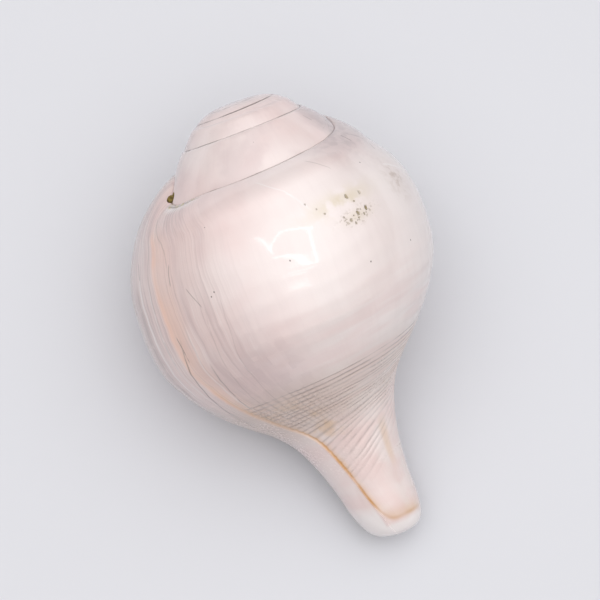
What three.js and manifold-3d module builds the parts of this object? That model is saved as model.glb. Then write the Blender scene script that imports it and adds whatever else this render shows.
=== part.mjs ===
import * as THREE from "three";
import { mergeVertices } from "three/addons/utils/BufferGeometryUtils.js";
import Module from "manifold-3d";

// Conch shell, polished, lying on its mouth. Lengths in mm.
// A whorl is swept round the coiling axis. Growth angle 0 is the lip, older shell has negative angles.
// Sections are written as [distance from the spire's vanishing point along the axis, radius].
const EXPANSION = 1.5;
const SEAM = 4;

// Section of the shell at the lip, from the suture to the end of the canal.
const LIP_SECTION = [
  [31.5, 29.4], [33.2, 34.0], [35.6, 37.8], [38.9, 40.9], [43.4, 43.2], [49.8, 44.8], [58.0, 45.4],
  [66.5, 45.3], [74.4, 43.9], [80.6, 41.0], [86.3, 37.2], [91.5, 32.1], [96.1, 26.5], [100.1, 21.0],
  [105.2, 16.3], [111.9, 13.0], [119.3, 10.9], [126.5, 9.6], [132.4, 7.0], [134.6, 0],
];

// The same section one turn earlier. Points before the seam show, the rest is covered by the last turn.
const OLD_SECTION = [
  [19.6, 18.0], [20.8, 19.0], [21.9, 19.9], [23.0, 20.8], [24.0, 21.6], [32.0, 28.8], [40.5, 32.3],
  [48.5, 33.0], [56.0, 32.2], [61.8, 29.9], [67.5, 26.5], [73.2, 22.4], [78.7, 18.3], [84.3, 14.8],
  [91.5, 12.5], [102.7, 10.5], [114.4, 9.2], [125.6, 8.4], [132.0, 6.0], [134.6, 0],
];

// The suture's course: growth angle in degrees, distance along the axis, radius.
const SUTURE = [
  [-765, 13.2, 11.5], [-585, 17.4, 15.2], [-490, 17.8, 16.2], [-405, 18.6, 17.0], [-360, 19.6, 18.0],
  [-225, 22.2, 20.3], [-190, 26.0, 23.5], [-130, 28.5, 25.4], [-90, 29.2, 26.3], [-62, 29.9, 27.0],
  [-50, 25.6, 23.1], [-40, 24.1, 21.7], [0, 24.0, 21.6],
];

// How far the old growth stop trails behind, in degrees, from the suture to the tip of the canal.
const GROWTH_LAG = [
  [1, 0], [3.7, -9], [6, -11], [8, -12], [10.5, -15], [12.8, -20], [14.4, -33], [16.1, -46],
  [17, -55], [19, -60],
];

const TURNS = 4;
const ROW_STEP = 7.5;
const GROWTH_STOP = -57.5;
const WALL = 3.6;
const SUTURE_LEDGE = 0.55;
const BAND_BULGE = 0.6;
const GROWTH_LEDGE = 0.5;
const CORDS = 15;
const CORD_START = 10.6;
const CORD_END = 15.9;
const CORD_HEIGHT = 0.17;
const FACET_DEPTH = 0.22;
const LIP_ROUNDING = 1.5;
const CROWN = 10.9;
const CHAMBER_END = -252;
const LIP_FLARE = 1.3;
const PILLAR_SLIM = 2.5;
const FOLDS = [10.5, 11.35, 12.2, 13.0];
const FOLD_HEIGHT = 1.6;
const NOTCH_ANGLE = -58;
const NOTCH_SIZE = [1.3, 1.5, 1.6];

// Canal groove: distance along the axis, channel centre from the axis, channel radius, slot width.
const CANAL_COURSE = [
  [83, 19.2, 1.6, 0.1], [88, 17.0, 3.0, 0.3], [93, 13.8, 3.7, 1.0], [98, 10.8, 3.7, 2.2],
  [104, 8.2, 3.3, 3.0], [111, 6.4, 2.9, 3.3], [119, 5.4, 2.6, 3.3], [128, 5.0, 2.5, 3.3],
  [139, 4.9, 2.6, 3.4],
];
const TILT = 19.9;
const ROLL = 39.9;
const REST_TRIM = 0.3;
const BEND_START = 100;
const BEND = 3.0;
const BEND_DIRECTION = -225;

const rad = THREE.MathUtils.degToRad;
const mix = THREE.MathUtils.lerp;
const step01 = (x) => THREE.MathUtils.smoothstep(x, 0, 1);

// Smooth curve from a to b, with a slope at each end.
function curve(a, b, slopeA, slopeB, u) {
  const cubic = (2 * a - 2 * b + slopeA + slopeB) * u ** 3;
  const square = (3 * b - 3 * a - 2 * slopeA - slopeB) * u ** 2;
  return cubic + square + slopeA * u + a;
}

// Point on the line through the hand-set stations of a section.
function sectionPoint(stations, s) {
  const last = stations.length - 1;
  const i = Math.min(Math.max(Math.floor(s), 0), last - 1);
  const u = s - i;
  const at = (k, c) => stations[Math.min(Math.max(k, 0), last)][c];
  return [0, 1].map((c) => {
    const a = at(i, c);
    const b = at(i + 1, c);
    return curve(a, b, (b - at(i - 1, c)) / 2, (at(i + 2, c) - a) / 2, u);
  });
}

// Point of the suture at a growth angle; before its first station it shrinks as the spiral does.
function suturePoint(growth) {
  const deg = Math.min(growth, 0);
  const first = SUTURE[0][0];
  if (deg < first) {
    const size = EXPANSION ** ((deg - first) / 360);
    return [SUTURE[0][1] * size, SUTURE[0][2] * size];
  }
  let i = 0;
  while (i < SUTURE.length - 2 && SUTURE[i + 1][0] <= deg) {
    i += 1;
  }
  const slope = (k, c) => {
    const a = SUTURE[Math.max(k - 1, 0)];
    const b = SUTURE[Math.min(k + 1, SUTURE.length - 1)];
    return (b[c] - a[c]) / (b[0] - a[0]);
  };
  const span = SUTURE[i + 1][0] - SUTURE[i][0];
  const u = (deg - SUTURE[i][0]) / span;
  return [1, 2].map((c) => {
    return curve(SUTURE[i][c], SUTURE[i + 1][c], slope(i, c) * span, slope(i + 1, c) * span, u);
  });
}

// Plain outer skin at a growth angle, before the fine relief.
function skin(deg, s) {
  const upper = suturePoint(deg);
  if (deg < -360 && s <= SEAM) {
    const lower = suturePoint(deg + 360);
    const u = s / SEAM;
    const bulge = 4 * u * (1 - u) * BAND_BULGE * EXPANSION ** ((deg + 360) / 360);
    return [mix(upper[0], lower[0], u) - 0.7 * bulge, mix(upper[1], lower[1], u) + 0.7 * bulge];
  }
  if (deg < -360) {
    const size = EXPANSION ** ((deg + 360) / 360);
    return sectionPoint(OLD_SECTION, s).map((v) => v * size);
  }
  const grown = (EXPANSION ** (deg / 360) - 1 / EXPANSION) / (1 - 1 / EXPANSION);
  const older = sectionPoint(OLD_SECTION, s);
  const lip = sectionPoint(LIP_SECTION, s);
  const pull = 1 - step01(s / (1.5 * SEAM));
  return [0, 1].map((c) => {
    const top = mix(OLD_SECTION[0][c], LIP_SECTION[0][c], grown);
    return mix(older[c], lip[c], grown) + (upper[c] - top) * pull;
  });
}

function skinNormal(deg, s) {
  const a = skin(deg, Math.max(s - 0.05, 0));
  const b = skin(deg, Math.min(s + 0.05, LIP_SECTION.length - 1));
  const length = Math.hypot(b[0] - a[0], b[1] - a[1]);
  return [-(b[1] - a[1]) / length, (b[0] - a[0]) / length];
}

// Height of the fine relief over the plain skin.
function relief(deg, s, along, growth) {
  const last = LIP_SECTION.length - 1;
  const end = 1 - step01((s - last + 2) / 1.6);
  let height = SUTURE_LEDGE * (1 - Math.exp(-s / 0.14)) * Math.exp(-s / 1.3);
  if (deg < -360) {
    height *= 1 - s / SEAM;
    return height;
  }
  const past = growth - GROWTH_STOP;
  if (past > 0) {
    height += mix(0.4, 1, step01((s - 8) / 6)) * GROWTH_LEDGE * Math.exp(-past / 24) * end * step01(s / 3);
  }
  const cord = (s - CORD_START) / (CORD_END - CORD_START);
  const cordZone = step01(cord * 6) * step01((1 - cord) * 5);
  const behind = 1 - step01((past + 4) / 8);
  height += CORD_HEIGHT * cordZone * behind * Math.cos(2 * Math.PI * CORDS * cord);
  const leftward = Math.abs(Math.sin(rad(deg * 3.5) + along * 0.21));
  const rightward = Math.abs(Math.sin(along * 0.33 - rad(deg * 2)));
  height -= FACET_DEPTH * (1 - (leftward + rightward) / 2) * end * step01(s / 2);
  return height;
}

// Growth lines lean back towards the canal, most at the old growth stop.
function leaningAngle(deg, s) {
  const next = Math.max(GROWTH_LAG.findIndex(([station]) => station > s), 1);
  const [from, to] = [GROWTH_LAG[next - 1], GROWTH_LAG[next]];
  const lag = mix(from[1], to[1], Math.min(Math.max((s - from[0]) / (to[0] - from[0]), 0), 1));
  const share = deg > GROWTH_STOP ? deg / GROWTH_STOP : (deg + 230) / (GROWTH_STOP + 230);
  return deg + lag * step01(share);
}

// Skin with its relief; near the lip the edge turns in.
function surfacePoint(deg, s, growth) {
  const plain = skin(deg, s);
  const normal = skinNormal(deg, s);
  let height = relief(deg, s, plain[0], growth);
  if (deg > -5) {
    const edge = 1 + deg / 5;
    const last = LIP_SECTION.length - 1;
    const reach = step01(s / 2) * (1 - step01((s - last + 5) / 4));
    height -= LIP_ROUNDING * (1 - Math.sqrt(1 - edge * edge)) * reach;
  }
  return [plain[0] + normal[0] * height, plain[1] + normal[1] * height];
}

// The shell lies on its mouth: the axis is tilted and rolled into the resting pose.
const axisUp = new THREE.Vector3(0, Math.cos(rad(TILT)), Math.sin(rad(TILT)));
const side = new THREE.Vector3(-1, 0, 0);
const over = new THREE.Vector3(0, -Math.sin(rad(TILT)), Math.cos(rad(TILT)));
const lipward = side.clone().multiplyScalar(Math.cos(rad(ROLL)));
lipward.addScaledVector(over, -Math.sin(rad(ROLL)));
const crosswise = side.clone().multiplyScalar(Math.sin(rad(ROLL)));
crosswise.addScaledVector(over, Math.cos(rad(ROLL)));

function place(deg, section) {
  const [along, radius] = section;
  const bend = BEND * (Math.max(along - BEND_START, 0) / (LIP_SECTION.at(-1)[0] - BEND_START)) ** 2;
  const right = radius * Math.cos(rad(deg)) + bend * Math.cos(rad(BEND_DIRECTION));
  const across = radius * Math.sin(rad(deg)) + bend * Math.sin(rad(BEND_DIRECTION));
  return new THREE.Vector3()
    .addScaledVector(lipward, right)
    .addScaledVector(crosswise, -across)
    .addScaledVector(axisUp, -along);
}

// Stations along a section: close together over the cords, wider on the smooth body.
const columns = [0, 0.12, 0.4, 1.2, 2.2, 3.1, SEAM];
const seamColumn = columns.length - 1;
for (let s = 4.7; s < CORD_START - 0.3; s += 0.7) {
  columns.push(s);
}
for (let i = 0; i <= 2 * CORDS; i += 1) {
  columns.push(CORD_START + (i / CORDS / 2) * (CORD_END - CORD_START));
}
columns.push(16.5, 17.1, 17.6, 18.1, 18.5, 18.8, LIP_SECTION.length - 1);
const lastColumn = columns.length - 1;

// Growth angles of one turn, with close pairs at the growth stop and the lip.
const turnAngles = [];
for (let deg = -360 + ROW_STEP; deg < -0.01; deg += ROW_STEP) {
  if (Math.abs(deg - GROWTH_STOP) > 5) {
    turnAngles.push(deg);
  }
}
turnAngles.push(GROWTH_STOP - 6, GROWTH_STOP - 0.9, GROWTH_STOP + 0.5, GROWTH_STOP + 6, -4.5, -2.2, -0.9, 0);
turnAngles.sort((a, b) => a - b);
const angles = [];
for (let turn = TURNS - 1; turn >= 0; turn -= 1) {
  turnAngles.forEach((deg) => angles.push(deg - 360 * turn));
}
const rowsPerTurn = turnAngles.length;
const lastTurn = angles.length - rowsPerTurn - 1;

// A closed solid from a surface, without doubled corners and collapsed faces.
function solidOf(wasm, geometry) {
  const bare = new THREE.BufferGeometry();
  bare.setAttribute("position", geometry.getAttribute("position").clone());
  bare.setIndex(geometry.getIndex());
  const merged = mergeVertices(bare, 1e-4);
  const corners = merged.getIndex().array;
  const kept = [];
  for (let i = 0; i < corners.length; i += 3) {
    const [a, b, c] = corners.slice(i, i + 3);
    if (a !== b && b !== c && c !== a) {
      kept.push(a, b, c);
    }
  }
  const vertProperties = new Float32Array(merged.getAttribute("position").array);
  const closed = (faces) => {
    return new wasm.Manifold(new wasm.Mesh({ numProp: 3, vertProperties, triVerts: new Uint32Array(faces) }));
  };
  const solid = closed(kept);
  return solid.volume() > 0 ? solid : closed(kept.reverse());
}

function solidFrom(wasm, positions, triangles) {
  const geometry = new THREE.BufferGeometry();
  geometry.setAttribute("position", new THREE.Float32BufferAttribute(positions, 3));
  geometry.setIndex(triangles);
  return solidOf(wasm, geometry);
}

// Triangles of a flat outline, as corner numbers that run the same way round as the outline.
function flatFaces(outline) {
  const corners = outline.map(([x, y]) => new THREE.Vector2(x, y));
  const faces = THREE.ShapeUtils.triangulateShape(corners, []);
  const first = faces[0].map((k) => corners[k]);
  const sameWay = THREE.ShapeUtils.area(corners) * THREE.ShapeUtils.area(first) > 0;
  return sameWay ? faces : faces.map(([a, b, c]) => [a, c, b]);
}

// Solid through a row of closed rings. Each has its points in space, and its flat outline for the end caps.
function loft(wasm, rings) {
  const count = rings[0].points.length;
  const positions = rings.flatMap((ring) => ring.points.flatMap((p) => p.toArray()));
  const triangles = [];
  for (let i = 0; i < rings.length - 1; i += 1) {
    for (let j = 0; j < count; j += 1) {
      const a = i * count + j;
      const b = i * count + ((j + 1) % count);
      triangles.push(a, b, a + count, b, b + count, a + count);
    }
  }
  const cap = (ring, start, outward) => {
    flatFaces(ring.outline).forEach(([a, b, c]) => {
      const [p, q] = outward ? [b, c] : [c, b];
      triangles.push(start + a, start + p, start + q);
    });
  };
  cap(rings[0], 0, false);
  cap(rings[rings.length - 1], (rings.length - 1) * count, true);
  return solidFrom(wasm, positions, triangles);
}

// Closed outer skin: the coiled strip welded along the suture, the crown, and the flat face of the lip.
function outerShell(wasm) {
  const positions = [];
  const triangles = [];
  const index = [];
  const add = (point) => {
    positions.push(point.x, point.y, point.z);
    return positions.length / 3 - 1;
  };
  const tip = add(place(0, [LIP_SECTION[LIP_SECTION.length - 1][0], 0]));
  for (let i = angles.length - 1; i >= 0; i -= 1) {
    index[i] = [];
    const end = i >= lastTurn ? lastColumn : seamColumn;
    for (let j = 0; j <= end; j += 1) {
      if (j === seamColumn && i <= lastTurn) {
        index[i][j] = index[i + rowsPerTurn][0];
      } else if (j === lastColumn) {
        index[i][j] = tip;
      } else {
        const deg = angles[i] > -360 ? leaningAngle(angles[i], columns[j]) : angles[i];
        index[i][j] = add(place(deg, surfacePoint(deg, columns[j], angles[i])));
      }
    }
  }
  for (let i = 0; i < angles.length - 1; i += 1) {
    const end = i >= lastTurn ? lastColumn : seamColumn;
    for (let j = 0; j < end; j += 1) {
      const [a, b, c, d] = [index[i][j], index[i + 1][j], index[i + 1][j + 1], index[i][j + 1]];
      triangles.push(a, c, b);
      if (c !== d) {
        triangles.push(a, d, c);
      }
    }
  }
  // Crown: a fan over the innermost turn.
  const crown = add(place(0, [3, 0]));
  for (let i = 0; i < rowsPerTurn; i += 1) {
    triangles.push(crown, index[i][0], index[i + 1][0]);
  }
  for (let j = seamColumn; j > 0; j -= 1) {
    triangles.push(crown, index[0][j], index[0][j - 1]);
  }
  // Face of the lip, in the plane of growth angle 0.
  const rim = [];
  const lipRow = angles.length - 1;
  for (let j = 0; j < lastColumn; j += 1) {
    rim.push([index[lipRow][j], surfacePoint(0, columns[j], 0)]);
  }
  rim.push([tip, [LIP_SECTION[LIP_SECTION.length - 1][0], 0]]);
  for (let j = lastColumn - 1; j > seamColumn; j -= 1) {
    rim.push([index[lastTurn][j], surfacePoint(-360, columns[j], -360)]);
  }
  flatFaces(rim.map(([, point]) => point)).forEach(([a, b, c]) => {
    triangles.push(rim[a][0], rim[b][0], rim[c][0]);
  });
  return solidFrom(wasm, positions, triangles);
}

// Hollow of the last turn: under the outer wall, over the older whorl and the pillar with its folds.
function chamber(wasm) {
  const degs = [];
  for (let deg = CHAMBER_END; deg < -8; deg += 10) {
    degs.push(deg);
  }
  degs.push(-4.5, -2.2, -0.9, 0, 3, 12);
  const rings = degs.map((deg) => {
    const grown = (EXPANSION ** (deg / 360) - 1 / EXPANSION) / (1 - 1 / EXPANSION);
    const edge = Math.min(Math.max(1 + deg / 5, 0), 1);
    const wall = WALL - LIP_FLARE * (1 - Math.sqrt(1 - edge * edge));
    const clear = deg > 0 ? mix(-0.45, 0.6, Math.min(deg / 3, 1)) : -0.45;
    const outline = [];
    const outerTop = mix(6, 3.4, grown);
    const outerEnd = mix(13, 14.6, grown);
    const outerCount = 11;
    for (let i = 0; i <= outerCount; i += 1) {
      const s = mix(outerTop, outerEnd, i / outerCount);
      const point = skin(deg, s);
      const normal = skinNormal(deg, s);
      outline.push([point[0] - normal[0] * wall, point[1] - normal[1] * wall]);
    }
    const innerCount = 19;
    for (let i = 0; i <= innerCount; i += 1) {
      const s = mix(14.6, 6.2, i / innerCount);
      const point = skin(deg - 360, s);
      const normal = skinNormal(deg - 360, s);
      const inside = 1 - step01((deg + 32) / 28);
      const slim = PILLAR_SLIM * step01((s - 12.5) / 2) * inside;
      const folds = FOLDS.reduce((sum, fold) => sum + Math.exp(-(((s - fold) / 0.2) ** 2)), 0);
      const shift = clear - slim + folds * FOLD_HEIGHT * inside;
      outline.push([point[0] + normal[0] * shift, point[1] + normal[1] * shift]);
    }
    return { points: outline.map((p) => place(deg, p)), outline };
  });
  return loft(wasm, rings);
}

// Open groove of the canal, from the mouth to the tip: a round channel with a slot beside the lip's edge.
function canal(wasm) {
  const rings = CANAL_COURSE.map(([along, x, radius, slot]) => {
    const outline = [[24, slot], [24, -0.2], [x + radius, -0.2]];
    for (let turn = -20; turn >= -260; turn -= 40) {
      outline.push([x + radius * Math.cos(rad(turn)), -1 + radius * Math.sin(rad(turn))]);
    }
    outline.push([x + 0.4, slot]);
    const points = outline.map(([u, v]) => {
      return place(THREE.MathUtils.radToDeg(Math.atan2(v, u)), [along, Math.hypot(u, v)]);
    });
    return { points, outline };
  });
  return loft(wasm, rings);
}

// Everything above the worn, slightly domed crown.
function crownCutter(wasm) {
  const dome = [
    [0, 0], [4, 0.1], [6.5, 0.35], [8.5, 0.8], [10, 1.4], [11.2, 2.1], [12.4, 3.1],
    [26, 6], [26, -30], [0, -30],
  ];
  const outline = dome.map(([radius, below]) => new THREE.Vector2(radius, -(CROWN + below)));
  const turned = new THREE.LatheGeometry(outline, 36);
  const basis = new THREE.Matrix4().makeBasis(lipward, axisUp, crosswise.clone().negate());
  turned.applyMatrix4(basis);
  return solidOf(wasm, turned);
}

// Small hole where the raised end of the suture left the older whorl.
function notchCutter(wasm) {
  const ball = new THREE.IcosahedronGeometry(1, 2);
  ball.scale(...NOTCH_SIZE);
  const seat = place(NOTCH_ANGLE, suturePoint(NOTCH_ANGLE));
  ball.translate(seat.x, seat.y, seat.z);
  return solidOf(wasm, ball);
}

function buildShell(wasm) {
  const hollowed = outerShell(wasm)
    .subtract(chamber(wasm))
    .subtract(canal(wasm))
    .subtract(crownCutter(wasm))
    .subtract(notchCutter(wasm));
  const box = hollowed.boundingBox();
  const floor = new THREE.BoxGeometry(400, 400, 40);
  floor.translate(0, 0, box.min[2] + REST_TRIM - 20);
  const rested = hollowed.subtract(solidOf(wasm, floor));
  const low = rested.boundingBox();
  return rested.translate([-(low.min[0] + low.max[0]) / 2, -(low.min[1] + low.max[1]) / 2, -low.min[2]]);
}

export default await (async () => {
  const wasm = await Module();
  wasm.setup();
  const shell = buildShell(wasm);
  const out = shell.getMesh();
  const geometry = new THREE.BufferGeometry();
  geometry.setAttribute("position", new THREE.Float32BufferAttribute(out.vertProperties, 3));
  geometry.setIndex(Array.from(out.triVerts));
  geometry.computeVertexNormals();
  const material = new THREE.MeshStandardMaterial({ color: 0xe9dcd8, roughness: 0.25, metalness: 0 });
  const mesh = new THREE.Mesh(geometry, material);
  mesh.name = "conch_shell";
  const group = new THREE.Group();
  group.add(mesh);
  return group;
})();
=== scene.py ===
import math
import bpy
from mathutils import Matrix, Vector


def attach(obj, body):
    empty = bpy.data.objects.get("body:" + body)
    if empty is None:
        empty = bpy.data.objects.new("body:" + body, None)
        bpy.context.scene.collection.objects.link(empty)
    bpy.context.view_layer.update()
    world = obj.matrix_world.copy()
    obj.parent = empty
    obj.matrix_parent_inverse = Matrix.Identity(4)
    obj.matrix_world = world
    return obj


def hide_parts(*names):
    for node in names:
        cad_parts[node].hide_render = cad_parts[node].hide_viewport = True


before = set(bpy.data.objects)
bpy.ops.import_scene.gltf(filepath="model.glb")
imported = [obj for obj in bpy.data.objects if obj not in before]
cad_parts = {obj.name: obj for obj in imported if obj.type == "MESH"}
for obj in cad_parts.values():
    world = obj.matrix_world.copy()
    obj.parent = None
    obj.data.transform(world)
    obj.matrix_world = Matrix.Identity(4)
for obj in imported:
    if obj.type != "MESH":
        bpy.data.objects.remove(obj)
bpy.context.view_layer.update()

# Growth of the shell
#
# One solid of lime, laid down by the animal as a tube that coils round an axis and widens by half
# with every turn. The sections, the line of the suture and the lag of the growth lines follow the
# photographed outline; the growth tree turns them into the skin.
MM = 0.001
EXPANSION = 1.5
# A station is a place along a section: 0 at the suture, 4 at the seam with the next turn, 19 at the tip.
SEAM = 4
TIP = 19
# Points of the sections are (distance down the axis, radius) in mm. Before them the suture has its
# growth angle: 0 at the lip, and below 0 for older shell.
LIP_SECTION = (
    (31.5, 29.4), (33.2, 34.0), (35.6, 37.8), (38.9, 40.9), (43.4, 43.2), (49.8, 44.8), (58.0, 45.4),
    (66.5, 45.3), (74.4, 43.9), (80.6, 41.0), (86.3, 37.2), (91.5, 32.1), (96.1, 26.5), (100.1, 21.0),
    (105.2, 16.3), (111.9, 13.0), (119.3, 10.9), (126.5, 9.6), (132.4, 7.0), (134.6, 0),
)
OLD_SECTION = (
    (19.6, 18.0), (20.8, 19.0), (21.9, 19.9), (23.0, 20.8), (24.0, 21.6), (32.0, 28.8), (40.5, 32.3),
    (48.5, 33.0), (56.0, 32.2), (61.8, 29.9), (67.5, 26.5), (73.2, 22.4), (78.7, 18.3), (84.3, 14.8),
    (91.5, 12.5), (102.7, 10.5), (114.4, 9.2), (125.6, 8.4), (132.0, 6.0), (134.6, 0),
)
SUTURE = (
    (-765, 13.2, 11.5), (-585, 17.4, 15.2), (-490, 17.8, 16.2), (-405, 18.6, 17.0), (-360, 19.6, 18.0),
    (-225, 22.2, 20.3), (-190, 26.0, 23.5), (-130, 28.5, 25.4), (-90, 29.2, 26.3), (-62, 29.9, 27.0),
    (-50, 25.6, 23.1), (-40, 24.1, 21.7), (0, 24.0, 21.6),
)
# Degrees by which the growth lines trail behind, for each station.
GROWTH_LAG = (
    (0, 0), (1, 0), (3.7, -9), (6, -11), (8, -12), (10.5, -15), (12.8, -20), (14.4, -33), (16.1, -46),
    (17, -55), (19, -60),
)
GUIDE_STEPS = 16
SUTURE_STEP = 5
SPIRAL_START = -1800
WIND_OUT = 260
BAND_BULGE = 0.6
FIRST_GROWTH = (SPIRAL_START + 380, SPIRAL_START + 620)
CROWN = 10.9
CROWN_RADIUS = 12.4
CROWN_DOME = 3.1
DOME_POWER = 3.5
CROWN_SLOPE = 0.2
CROWN_ROUNDING = 0.3
GROWTH_STOP = -57.5
# The end of the canal bends sideways: mm down the axis, mm at the tip, and degrees round the axis.
BEND_START = 100
BEND = 3.0
BEND_DIRECTION = -225


def hermite(a, b, slope_a, slope_b, u):
    """Smooth curve from a to b, with a slope at each end."""
    cubic = (2 * a - 2 * b + slope_a + slope_b) * u ** 3
    square = (3 * b - 3 * a - 2 * slope_a - slope_b) * u ** 2
    return cubic + square + slope_a * u + a


def section_line(stations):
    """Fine line through the stations of a section, as (radius, distance) points."""
    last = len(stations) - 1
    line = []
    for number in range(last * GUIDE_STEPS + 1):
        i = min(number // GUIDE_STEPS, last - 1)
        u = number / GUIDE_STEPS - i
        before, a, b, after = (stations[min(max(k, 0), last)] for k in (i - 1, i, i + 1, i + 2))
        along, radius = (
            hermite(a[c], b[c], (b[c] - before[c]) / 2, (after[c] - a[c]) / 2, u) for c in (0, 1)
        )
        line.append((radius, along, 0))
    return line


def suture_point(angle):
    """Distance down the axis and radius of the suture, which winds in to the crown at the start."""
    first = SUTURE[0][0]
    if angle < first:
        size = EXPANSION ** ((angle - first) / 360)
        wound = min(max((angle - SPIRAL_START - 360) / WIND_OUT, 0), 1)
        return SUTURE[0][1] * size, SUTURE[0][2] * size * wound ** 0.5
    i = max(k for k in range(len(SUTURE) - 1) if SUTURE[k][0] <= angle)
    span = SUTURE[i + 1][0] - SUTURE[i][0]

    def slope(k, c):
        before, after = SUTURE[max(k - 1, 0)], SUTURE[min(k + 1, len(SUTURE) - 1)]
        return (after[c] - before[c]) / (after[0] - before[0]) * span

    u = (angle - SUTURE[i][0]) / span
    return tuple(hermite(SUTURE[i][c], SUTURE[i + 1][c], slope(i, c), slope(i + 1, c), u) for c in (1, 2))


def guide(name, line):
    """The growth tree reads a guide by the number of its point."""
    mesh = bpy.data.meshes.new(name)
    mesh.from_pydata([Vector(point) * MM for point in line], [], [])
    made = bpy.data.objects.new(name, mesh)
    bpy.context.scene.collection.objects.link(made)
    return made


suture_line = []
for angle in range(SPIRAL_START, SUTURE_STEP, SUTURE_STEP):
    along, radius = suture_point(angle)
    suture_line.append((radius, along, 0))
lip_guide = guide("lip_guide", section_line(LIP_SECTION))
old_guide = guide("old_guide", section_line(OLD_SECTION))
suture_guide = guide("suture_guide", suture_line)


class Field:
    """A value that changes over the surface. A sum written with fields adds its nodes to the tree."""

    def __init__(self, tree, socket):
        self.tree = tree
        self.socket = socket
        self.is_vector = socket.type == "VECTOR"

    def __add__(self, other):
        return reckon("ADD", self, other)

    __radd__ = __add__

    def __sub__(self, other):
        return reckon("SUBTRACT", self, other)

    def __rsub__(self, other):
        return reckon("SUBTRACT", other, self)

    def __mul__(self, other):
        return scaled(self, other) if self.is_vector else reckon("MULTIPLY", self, other)

    def __rmul__(self, other):
        return self * other

    def __truediv__(self, other):
        return reckon("DIVIDE", self, other)

    def __rtruediv__(self, other):
        return reckon("DIVIDE", other, self)

    def __pow__(self, other):
        return reckon("POWER", self, other)

    def __rpow__(self, other):
        return reckon("POWER", other, self)

    def __neg__(self):
        return self * -1


def fill(tree, slot, value):
    if isinstance(value, Field):
        tree.links.new(value.socket, slot)
    else:
        slot.default_value = value


def new_node(tree, kind, settings=None, values=None):
    """Node with its settings by name, and its inputs by name or number."""
    node = tree.nodes.new(kind)
    for key, value in (settings or {}).items():
        setattr(node, key, value)
    for key, value in (values or {}).items():
        fill(tree, node.inputs[key], value)
    return node


def field(tree, kind, settings=None, values=None, out=0):
    return Field(tree, new_node(tree, kind, settings, values).outputs[out])


def reckon(operation, *values):
    first = next(value for value in values if isinstance(value, Field))
    kind = "ShaderNodeVectorMath" if first.is_vector else "ShaderNodeMath"
    return field(first.tree, kind, {"operation": operation}, dict(enumerate(values)))


def scaled(vector, number):
    return field(vector.tree, "ShaderNodeVectorMath", {"operation": "SCALE"}, {0: vector, "Scale": number})


def blend(a, b, share):
    """From a to b as the share goes from 0 to 1."""
    vectors = any(isinstance(value, Field) and value.is_vector for value in (a, b))
    first, out, kind = (4, 1, "VECTOR") if vectors else (2, 0, "FLOAT")
    settings = {"data_type": kind, "clamp_factor": False}
    return field(share.tree, "ShaderNodeMix", settings, {0: share, first: a, first + 1: b}, out)


def rise(value, low, high):
    """Smooth step from 0 at low to 1 at high; it falls where low is above high."""
    return field(value.tree, "ShaderNodeMapRange", {"interpolation_type": "SMOOTHSTEP"},
                 {0: value, 1: low, 2: high})


def through(value, points, smooth=False):
    """Line through points (value, result)."""
    low, high = points[0][0], points[-1][0]
    results = [result for _, result in points]
    bottom, top = min(results), max(results)
    node = new_node(value.tree, "ShaderNodeFloatCurve", None, {1: (value - low) / (high - low)})
    curve = node.mapping.curves[0]
    while len(curve.points) < len(points):
        curve.points.new(0.5, 0.5)
    for k, (at, result) in enumerate(points):
        curve.points[k].location = ((at - low) / (high - low), (result - bottom) / (top - bottom))
        curve.points[k].handle_type = "AUTO" if smooth else "VECTOR"
    node.mapping.update()
    return Field(value.tree, node.outputs[0]) * (top - bottom) + bottom


def combined(x, y, z):
    tree = next(value.tree for value in (x, y, z) if isinstance(value, Field))
    return field(tree, "ShaderNodeCombineXYZ", None, {0: x, 1: y, 2: z})


def parts(vector):
    node = new_node(vector.tree, "ShaderNodeSeparateXYZ", None, {0: vector})
    return [Field(vector.tree, socket) for socket in node.outputs]


def new_group(name, inputs, outputs, kind="GeometryNodeTree"):
    """Tree with named sockets. Gives the tree, its inputs as fields and its output node."""
    tree = bpy.data.node_groups.new(name, kind)
    for label, value in inputs:
        tree.interface.new_socket(label, in_out="INPUT", socket_type="NodeSocket" + value)
    for label, value in outputs:
        tree.interface.new_socket(label, in_out="OUTPUT", socket_type="NodeSocket" + value)
    entry = tree.nodes.new("NodeGroupInput")
    fields = {label: Field(tree, entry.outputs[label]) for label, kind in inputs}
    return tree, fields, tree.nodes.new("NodeGroupOutput")


def group_values(tree, group, values):
    kind = "GeometryNodeGroup" if tree.type == "GEOMETRY" else "ShaderNodeGroup"
    node = new_node(tree, kind, {"node_tree": group}, values)
    return [Field(tree, socket) for socket in node.outputs]


def on_guide(line, number):
    """Point of a guide at a number that may lie between two of its points."""
    whole = reckon("FLOOR", number)
    position = field(line.tree, "GeometryNodeInputPosition")
    settings = {"data_type": "FLOAT_VECTOR", "clamp": True}
    ends = []
    for index in (whole, whole + 1):
        values = {"Geometry": line, "Value": position, "Index": index}
        ends.append(field(line.tree, "GeometryNodeSampleIndex", settings, values))
    return blend(ends[0], ends[1], number - whole)


def grown_share(angle, size):
    """Size of the section between 0, a turn before the lip, and 1, at the lip."""
    return (size ** (angle / 360) - 1 / size) / (1 - 1 / size)


SKIN_INPUTS = (
    ("Growth", "Float"), ("Station", "Float"), ("Lip section", "Geometry"), ("Old section", "Geometry"),
    ("Suture", "Geometry"), ("Expansion", "Float"),
)


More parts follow.
